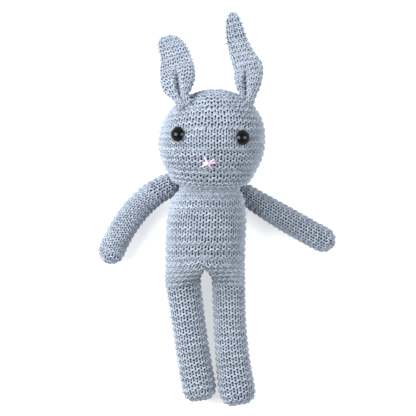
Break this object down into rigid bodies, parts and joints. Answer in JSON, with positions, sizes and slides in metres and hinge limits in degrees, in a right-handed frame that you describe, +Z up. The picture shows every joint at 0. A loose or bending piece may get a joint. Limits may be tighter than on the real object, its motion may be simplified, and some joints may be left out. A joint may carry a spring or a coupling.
{
  "type": "stuffed knitted bunny",
  "caption": "Soft stuffed rabbit knitted in pale blue yarn, lying on its back, with a round head, domed eyes, a stitched nose, long ears, arms and legs.",
  "frame": {"origin": "where the middle of the back rests on the surface, at its height", "axes": "+Z up out of the belly, +Y from the feet to the ears, +X to the toy's own left side"},
  "size_m": [0.1911, 0.315, 0.0874],
  "materials": {
    "knitted_yarn": "matte",
    "sewing_yarn": "matte",
    "stuffing": "matte",
    "nose_yarn": "matte",
    "safety_eye": "polished",
    "eye_washer": "moulded"
  },
  "bodies": {
    "body": {"body_cover": "knitted_yarn", "body_stuffing": "stuffing", "arm_seam_right": "sewing_yarn", "arm_seam_left": "sewing_yarn"},
    "neck_ball": {"neck_stuffing": "stuffing"},
    "neck_ring": {"neck_seam": "sewing_yarn"},
    "head": {"head_cover": "knitted_yarn", "head_stuffing": "stuffing", "nose_stitches": "nose_yarn", "eye_right": "safety_eye", "eye_washer_right": "eye_washer", "ear_seam_right": "sewing_yarn", "eye_left": "safety_eye", "eye_washer_left": "eye_washer", "ear_seam_left": "sewing_yarn"},
    "shoulder_right": {"arm_ball_right": "stuffing"},
    "arm_right": {"arm_cover_right": "knitted_yarn", "arm_stuffing_right": "stuffing"},
    "leg_right": {"leg_cover_right": "knitted_yarn", "leg_stuffing_right": "stuffing", "toe_seam_right": "sewing_yarn"},
    "ear_right": {"ear_right": "knitted_yarn"},
    "shoulder_left": {"arm_ball_left": "stuffing"},
    "arm_left": {"arm_cover_left": "knitted_yarn", "arm_stuffing_left": "stuffing"},
    "leg_left": {"leg_cover_left": "knitted_yarn", "leg_stuffing_left": "stuffing", "toe_seam_left": "sewing_yarn"},
    "ear_left": {"ear_left": "knitted_yarn"}
  },
  "joints": [
    {"name": "neck_tilt", "type": "hinge", "parent": "body", "child": "neck_ball", "pos_m": [0.0034, 0.0395, 0.039], "axis": [0, 0, 1], "range_deg": [-10, 10]},
    {"name": "neck_nod", "type": "hinge", "parent": "neck_ball", "child": "neck_ring", "pos_m": [0.0034, 0.0395, 0.039], "axis": [1, 0, 0], "range_deg": [0, 18]},
    {"name": "neck_turn", "type": "hinge", "parent": "neck_ring", "child": "head", "pos_m": [0.0034, 0.0395, 0.039], "axis": [0.0278, 0.994, 0.1058], "range_deg": [-18, 18]},
    {"name": "arm_raise_right", "type": "hinge", "parent": "body", "child": "shoulder_right", "pos_m": [-0.0315, 0.032, 0.018], "axis": [0, 0, -1], "range_deg": [-28, 58]},
    {"name": "arm_lift_right", "type": "hinge", "parent": "shoulder_right", "child": "arm_right", "pos_m": [-0.0315, 0.032, 0.018], "axis": [-0.7187, 0.6953, 0], "range_deg": [0, 55]},
    {"name": "arm_raise_left", "type": "hinge", "parent": "body", "child": "shoulder_left", "pos_m": [0.0345, 0.031, 0.018], "axis": [0, 0, 1], "range_deg": [-28, 58]},
    {"name": "arm_lift_left", "type": "hinge", "parent": "shoulder_left", "child": "arm_left", "pos_m": [0.0345, 0.031, 0.018], "axis": [-0.4532, -0.8914, 0], "range_deg": [0, 55]},
    {"name": "hip_bend_right", "type": "hinge", "parent": "body", "child": "leg_right", "pos_m": [-0.0188, -0.032, 0.0223], "axis": [-1, 0, 0], "range_deg": [0, 90]},
    {"name": "hip_bend_left", "type": "hinge", "parent": "body", "child": "leg_left", "pos_m": [0.0168, -0.032, 0.0223], "axis": [-1, 0, 0], "range_deg": [0, 90]},
    {"name": "ear_fold_right", "type": "hinge", "parent": "head", "child": "ear_right", "pos_m": [-0.01836, 0.11091, 0.06623], "axis": [0.8778, 0.4474, 0.171], "range_deg": [0, 120]},
    {"name": "ear_fold_left", "type": "hinge", "parent": "head", "child": "ear_left", "pos_m": [0.03505, 0.10985, 0.05702], "axis": [0.6097, -0.2278, -0.7592], "range_deg": [0, 120]}
  ]
}
